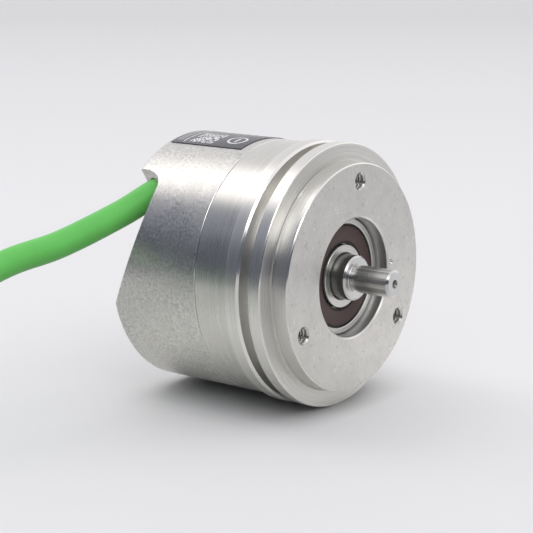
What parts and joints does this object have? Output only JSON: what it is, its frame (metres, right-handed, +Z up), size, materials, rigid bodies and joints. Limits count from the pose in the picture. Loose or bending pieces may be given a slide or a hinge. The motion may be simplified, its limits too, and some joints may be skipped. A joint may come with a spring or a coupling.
{
  "type": "rotary encoder",
  "caption": "Optical rotary encoder with a synchro flange, round shaft, sealed bearings, glass code disc and a cable that leaves the rear cover sideways.",
  "frame": {"origin": "centre of the flat rear face, on the shaft axis", "axes": "-Y along the shaft towards its tip, +Z up, +X to the right when looking along +Y"},
  "size_m": [0.1672, 0.0805, 0.058],
  "materials": {
    "machined_aluminium": "turned, satin",
    "cast_aluminium": "blasted",
    "ground_steel": "ground",
    "bearing_steel": "polished",
    "brown_rubber": "matte",
    "black_rubber": "matte",
    "green_jacket": "smooth",
    "tinned_copper": "woven",
    "circuit_board": "lacquered",
    "black_plastic": "moulded",
    "white_plastic": "moulded",
    "optical_glass": "polished",
    "label_film": "printed",
    "core_white": "smooth",
    "core_yellow": "smooth",
    "core_blue": "smooth",
    "core_orange": "smooth"
  },
  "bodies": {
    "stator": {"bearing_retaining_ring": "ground_steel", "board_header": "black_plastic", "board_screw_1": "ground_steel", "board_screw_2": "ground_steel", "board_screw_3": "ground_steel", "cable_core_1": "core_white", "cable_core_2": "core_yellow", "cable_core_3": "core_blue", "cable_core_4": "core_orange", "cable_ferrule": "ground_steel", "cable_grommet": "black_rubber", "cable_jacket": "green_jacket", "cable_plug": "white_plastic", "cable_shield": "tinned_copper", "circuit_board": "circuit_board", "condenser_lens": "optical_glass", "cover_o_ring": "black_rubber", "cover_screw_1": "ground_steel", "cover_screw_2": "ground_steel", "cover_screw_3": "ground_steel", "detector_chip": "black_plastic", "flange_housing": "machined_aluminium", "front_bearing_outer_ring": "bearing_steel", "front_bearing_rear_shield": "ground_steel", "front_bearing_seal": "brown_rubber", "label": "label_film", "led_emitter": "white_plastic", "led_holder": "black_plastic", "preload_wave_washer": "ground_steel", "rear_bearing_front_shield": "ground_steel", "rear_bearing_outer_ring": "bearing_steel", "rear_bearing_rear_shield": "ground_steel", "rear_cover": "cast_aluminium", "scanning_reticle": "optical_glass"},
    "rotor": {"shaft": "ground_steel", "front_bearing_inner_ring": "bearing_steel", "rear_bearing_inner_ring": "bearing_steel", "bearing_spacer_sleeve": "ground_steel", "disc_hub": "machined_aluminium", "code_disc": "optical_glass", "disc_clamp_ring": "machined_aluminium"},
    "front_cage_set": {"front_bearing_ball_1": "bearing_steel", "front_bearing_ball_2": "bearing_steel", "front_bearing_ball_3": "bearing_steel", "front_bearing_ball_4": "bearing_steel", "front_bearing_ball_5": "bearing_steel", "front_bearing_ball_6": "bearing_steel", "front_bearing_ball_7": "bearing_steel", "front_bearing_cage": "white_plastic"},
    "rear_cage_set": {"rear_bearing_ball_1": "bearing_steel", "rear_bearing_ball_2": "bearing_steel", "rear_bearing_ball_3": "bearing_steel", "rear_bearing_ball_4": "bearing_steel", "rear_bearing_ball_5": "bearing_steel", "rear_bearing_ball_6": "bearing_steel", "rear_bearing_ball_7": "bearing_steel", "rear_bearing_ball_8": "bearing_steel", "rear_bearing_cage": "white_plastic"}
  },
  "joints": [
    {"name": "shaft_spin", "type": "hinge", "parent": "stator", "child": "rotor", "pos_m": [0, 0, 0], "axis": [0, 1, 0], "continuous": true},
    {"name": "front_cage_orbit", "type": "hinge", "parent": "stator", "child": "front_cage_set", "pos_m": [0, -0.0381, 0], "axis": [0, 1, 0], "continuous": true},
    {"name": "rear_cage_orbit", "type": "hinge", "parent": "stator", "child": "rear_cage_set", "pos_m": [0, -0.028, 0], "axis": [0, 1, 0], "continuous": true}
  ],
  "couplings": [
    {"joint": "front_cage_orbit", "follows": "shaft_spin", "ratio": 0.3667},
    {"joint": "rear_cage_orbit", "follows": "shaft_spin", "ratio": 0.4}
  ]
}
